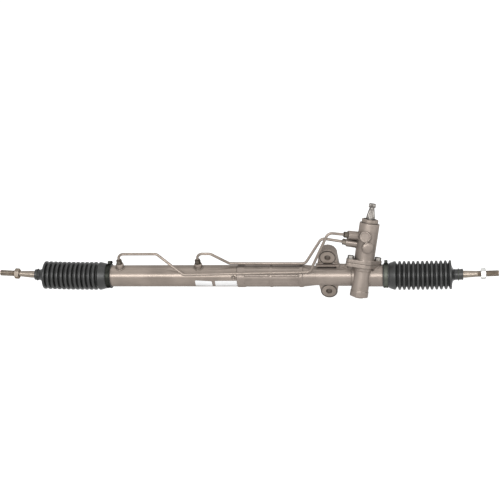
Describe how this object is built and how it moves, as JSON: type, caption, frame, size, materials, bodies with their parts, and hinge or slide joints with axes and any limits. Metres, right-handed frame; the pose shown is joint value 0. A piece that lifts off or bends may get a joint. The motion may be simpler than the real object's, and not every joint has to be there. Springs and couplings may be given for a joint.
{
  "type": "hydraulic rack-and-pinion steering gear",
  "caption": "Hydraulic power steering rack with pinion and valve tower, transfer pipes, ribbed rubber bellows and inner tie rods.",
  "frame": {"origin": "middle of the two mounting eyes on the front seat plane of their steel sleeves", "axes": "+X along the rack towards the pinion end, +Y along the eye bolts from the ribbed front to the back, +Z from the lower eye to the upper eye"},
  "size_m": [1.1821, 0.1196, 0.2298],
  "materials": {
    "cast_paint": "satin paint on cast aluminium",
    "steel_paint": "satin paint on steel",
    "bare_steel": "machined steel",
    "dark_steel": "dark coated steel",
    "zinc": "bright zinc plate",
    "rubber": "satin black rubber",
    "toned_steel": "toned plated steel",
    "plastic": "pale bearing plastic"
  },
  "bodies": {
    "housing": {"rack_housing": "cast_paint", "cylinder_tube": "steel_paint", "tube_end_bush": "bare_steel", "tube_end_seal": "rubber", "bulkhead": "bare_steel", "bulkhead_seal": "rubber", "valve_housing": "cast_paint", "valve_cap": "steel_paint", "port_plug": "toned_steel", "input_bearing": "bare_steel", "input_seal": "rubber", "pinion_upper_bearing": "bare_steel", "pinion_lower_bearing": "bare_steel", "pinion_seal": "rubber", "bottom_plug": "steel_paint", "valve_bolts": "zinc", "rack_yoke": "bare_steel", "yoke_spring": "dark_steel", "yoke_plug": "steel_paint", "yoke_locknut": "steel_paint", "upper_eye_bush": "rubber", "lower_eye_bush": "rubber", "upper_eye_sleeve": "steel_paint", "lower_eye_sleeve": "steel_paint", "long_pipe": "steel_paint", "short_pipe": "steel_paint", "pipe_nuts": "toned_steel", "left_bellows": "rubber", "right_bellows": "rubber", "left_clamp": "dark_steel", "right_clamp": "dark_steel", "clamp_screws": "dark_steel"},
    "rack": {"rack_bar": "bare_steel", "piston": "bare_steel", "piston_ring": "plastic", "left_socket": "dark_steel", "right_socket": "dark_steel", "left_lock_washer": "zinc", "right_lock_washer": "zinc"},
    "pinion": {"pinion": "bare_steel", "pinion_nut": "zinc", "valve_sleeve": "bare_steel", "valve_rings": "plastic"},
    "input": {"input_shaft": "bare_steel", "torsion_bar": "dark_steel", "torsion_pin": "bare_steel"},
    "left_seat": {"left_ball_seat": "plastic"},
    "right_seat": {"right_ball_seat": "plastic"},
    "left_rod": {"left_tie_rod": "toned_steel", "left_jam_nut": "toned_steel", "left_small_clip": "dark_steel"},
    "right_rod": {"right_tie_rod": "toned_steel", "right_jam_nut": "zinc", "right_small_clip": "dark_steel"}
  },
  "joints": [
    {"name": "rack_travel", "type": "slide", "parent": "housing", "child": "rack", "axis": [1, 0, 0], "range_m": [-0.068, 0.068], "deforming": ["left_bellows", "right_bellows"]},
    {"name": "pinion_turn", "type": "hinge", "parent": "housing", "child": "pinion", "pos_m": [0.078, -0.01759, 0.00682], "axis": [0.1564, 0.433, 0.8877], "range_deg": [-521, 521]},
    {"name": "input_twist", "type": "hinge", "parent": "pinion", "child": "input", "pos_m": [0.078, -0.01759, 0.00682], "axis": [0.1564, 0.433, 0.8877], "range_deg": [-4, 4], "stiffness_Nm_per_rad": 110},
    {"name": "left_rod_lift", "type": "hinge", "parent": "rack", "child": "left_seat", "pos_m": [-0.634, -0.0036, 0], "axis": [0, 1, 0], "range_deg": [-22, 22]},
    {"name": "left_rod_sweep", "type": "hinge", "parent": "left_seat", "child": "left_rod", "pos_m": [-0.634, -0.0036, 0], "axis": [0, 0, 1], "range_deg": [-16, 16]},
    {"name": "right_rod_lift", "type": "hinge", "parent": "rack", "child": "right_seat", "pos_m": [0.23, -0.0036, 0], "axis": [0, 1, 0], "range_deg": [-22, 22]},
    {"name": "right_rod_sweep", "type": "hinge", "parent": "right_seat", "child": "right_rod", "pos_m": [0.23, -0.0036, 0], "axis": [0, 0, 1], "range_deg": [-16, 16]}
  ],
  "couplings": [
    {"joint": "pinion_turn", "follows": "rack_travel", "rad_per_m": -133.47}
  ]
}
